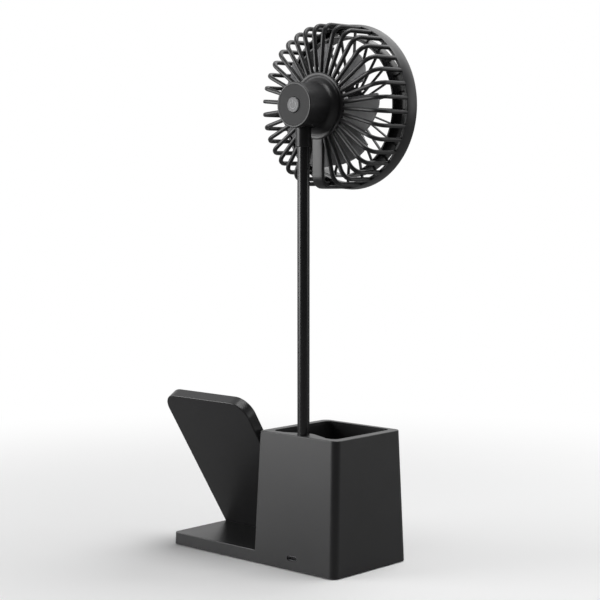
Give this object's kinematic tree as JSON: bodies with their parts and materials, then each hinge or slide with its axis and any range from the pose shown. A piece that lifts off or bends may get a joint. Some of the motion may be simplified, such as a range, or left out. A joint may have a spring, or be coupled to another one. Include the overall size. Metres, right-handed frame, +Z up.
{
  "type": "desk fan",
  "caption": "Caged fan head on a thin upright stem that turns and tilts, rising from a weighted base with an open pen cup and a leaning phone stand.",
  "frame": {"origin": "centre of the base's footprint, in the plane of the foot mat's underside, which is what the fan stands on", "axes": "+Z up; the fan blows along -Y, so its stem, its button and the rear faces are at +Y; the phone stand is at +X and the pen cup at -X"},
  "size_m": [0.1897, 0.0944, 0.4017],
  "materials": {
    "shell": "fine matte moulded black",
    "panel": "fine matte moulded black",
    "underside": "plain moulded black",
    "hub": "fine matte moulded black",
    "guard": "satin moulded black",
    "grille": "glossy moulded black",
    "blades": "satin moulded dark grey",
    "button": "satin moulded dark grey",
    "stem": "satin black paint",
    "mat_rubber": "matte",
    "grip_rubber": "matte",
    "lead_jacket": "matte",
    "steel": "zinc plated",
    "motor_steel": "plain",
    "ballast": "plain",
    "socket_metal": "smooth",
    "socket_core": "plain",
    "switch_body": "plain",
    "nylon": "plain",
    "circuit": "coated",
    "copper": "plain",
    "ferrite": "plain"
  },
  "bodies": {
    "base": {"base_shell": "shell", "pen_cup": "shell", "stem_socket": "shell", "base_plate": "underside", "base_screws": "steel", "foot_mat": "mat_rubber", "ballast_plate": "ballast", "power_board": "circuit", "usb_shell": "socket_metal", "usb_tongue": "socket_core", "panel_back_shell": "panel", "panel_front_cover": "panel", "grip_ring": "grip_rubber", "charge_coil": "copper", "coil_ferrite": "ferrite", "charger_board": "circuit", "ledge_pad": "grip_rubber", "stem_washer": "nylon", "stem_clamp": "nylon", "clamp_screws": "steel"},
    "stem": {"stem_tube": "stem", "stem_retainer": "steel", "fan_lead": "lead_jacket", "neck_ferrule": "hub"},
    "head": {"hub_housing": "hub", "hub_screws": "steel", "hub_cap": "hub", "tact_switch": "switch_body", "hub_board": "circuit", "tilt_pin": "steel", "rear_guard": "guard", "front_grille": "grille", "grille_cap": "grille", "motor_can": "motor_steel", "motor_cap": "switch_body", "motor_bushes": "copper", "motor_magnets": "ferrite"},
    "rotor": {"impeller": "blades", "impeller_nut": "steel", "motor_shaft": "steel", "armature": "motor_steel", "commutator": "copper"},
    "button": {"power_button": "button"}
  },
  "joints": [
    {"name": "stem_swivel", "type": "hinge", "parent": "base", "child": "stem", "pos_m": [-0.044, 0.03, 0.1], "axis": [0, 0, 1], "range_deg": [-90, 90]},
    {"name": "head_tilt", "type": "hinge", "parent": "stem", "child": "head", "pos_m": [-0.044, 0.03, 0.327], "axis": [-1, 0, 0], "range_deg": [-12, 20]},
    {"name": "blade_spin", "type": "hinge", "parent": "head", "child": "rotor", "pos_m": [-0.044, 0, 0.3405], "axis": [0, 1, 0], "continuous": true},
    {"name": "button_press", "type": "slide", "parent": "head", "child": "button", "axis": [0, -1, 0], "range_m": [0, 0.0005], "stiffness_N_per_m": 400, "springref_m": -0.0005}
  ]
}
